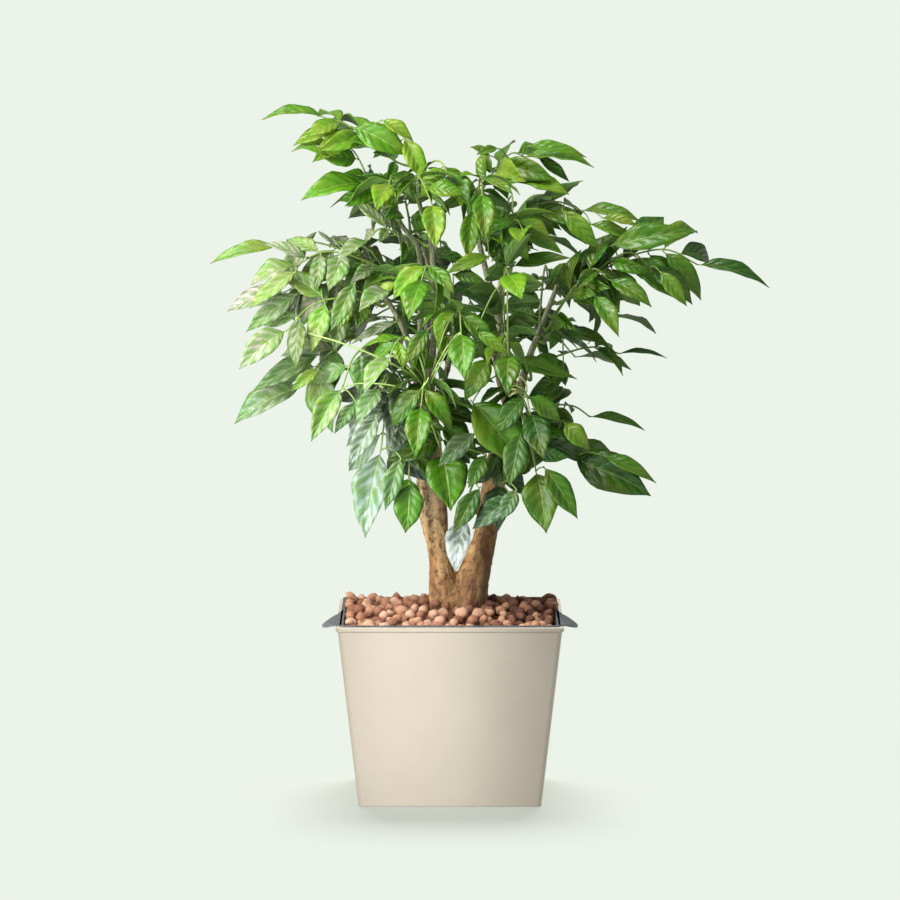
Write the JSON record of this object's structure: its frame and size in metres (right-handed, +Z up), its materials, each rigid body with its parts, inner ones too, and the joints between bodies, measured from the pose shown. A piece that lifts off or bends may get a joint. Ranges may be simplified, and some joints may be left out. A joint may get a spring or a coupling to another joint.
{
  "type": "potted china doll plant",
  "caption": "House plant with glossy compound leaves on a forked woody trunk, standing in a square tapered planter with a bed of clay pebbles.",
  "frame": {"origin": "middle of the planter's flat base, on the surface it stands on", "axes": "+Z up along the plant's height, -Y to the front that the picture shows, +X to the picture's right"},
  "size_m": [0.557, 0.3969, 0.6951],
  "materials": {
    "pot": "satin",
    "liner": "matte",
    "soil": "matte",
    "clay_pebbles": "matte",
    "trunk": "matte",
    "leaf_light": "satin",
    "leaf_mid": "satin",
    "leaf_dark": "satin"
  },
  "bodies": {
    "root": {"pot": "pot", "liner": "liner", "soil": "soil", "clay_pebbles": "clay_pebbles", "trunk": "trunk", "frond_top_left_high": "leaf_light", "frond_top_left_low": "leaf_light", "frond_left_upper": "leaf_light", "frond_top_right": "leaf_light", "frond_top_right_low": "leaf_light", "frond_right_upper": "leaf_light", "frond_right_far": "leaf_mid", "frond_right_far_low": "leaf_mid", "frond_right_second": "leaf_mid", "frond_right_second_low": "leaf_mid", "frond_right_middle": "leaf_dark", "frond_right_thin": "leaf_dark", "frond_right_inner": "leaf_dark", "frond_right_low_small": "leaf_dark", "frond_right_low_big": "leaf_dark", "frond_right_hanging": "leaf_dark", "frond_left_hanging": "leaf_mid", "frond_left_hanging_small": "leaf_mid", "frond_left_middle_low": "leaf_mid", "frond_left_far": "leaf_mid", "frond_left_far_low": "leaf_mid", "frond_left_curled": "leaf_mid", "frond_left_middle_high": "leaf_mid", "frond_left_middle": "leaf_mid", "frond_left_low": "leaf_mid", "frond_left_low_inner": "leaf_mid", "frond_left_inner_narrow": "leaf_dark", "frond_left_inner_high": "leaf_mid", "frond_left_inner_low": "leaf_light", "frond_centre_low": "leaf_mid", "frond_front_low": "leaf_mid", "frond_crotch": "leaf_mid", "frond_centre_dark": "leaf_light", "frond_crown_front": "leaf_light", "frond_crown_down": "leaf_light", "frond_crown_right": "leaf_light", "frond_crown_left": "leaf_light", "frond_middle_right_high": "leaf_light", "frond_middle_left_front": "leaf_light", "frond_middle_front": "leaf_light", "frond_middle_right_front": "leaf_light", "frond_middle_low_front": "leaf_light", "frond_right_low_front": "leaf_dark", "frond_back_01": "leaf_dark", "frond_back_02": "leaf_dark", "frond_back_03": "leaf_dark", "frond_back_04": "leaf_dark", "frond_back_05": "leaf_dark", "frond_back_06": "leaf_dark", "frond_back_07": "leaf_dark", "frond_back_08": "leaf_dark", "frond_back_09": "leaf_dark", "frond_back_10": "leaf_dark", "frond_back_11": "leaf_dark", "frond_back_12": "leaf_light"}
  },
  "joints": []
}
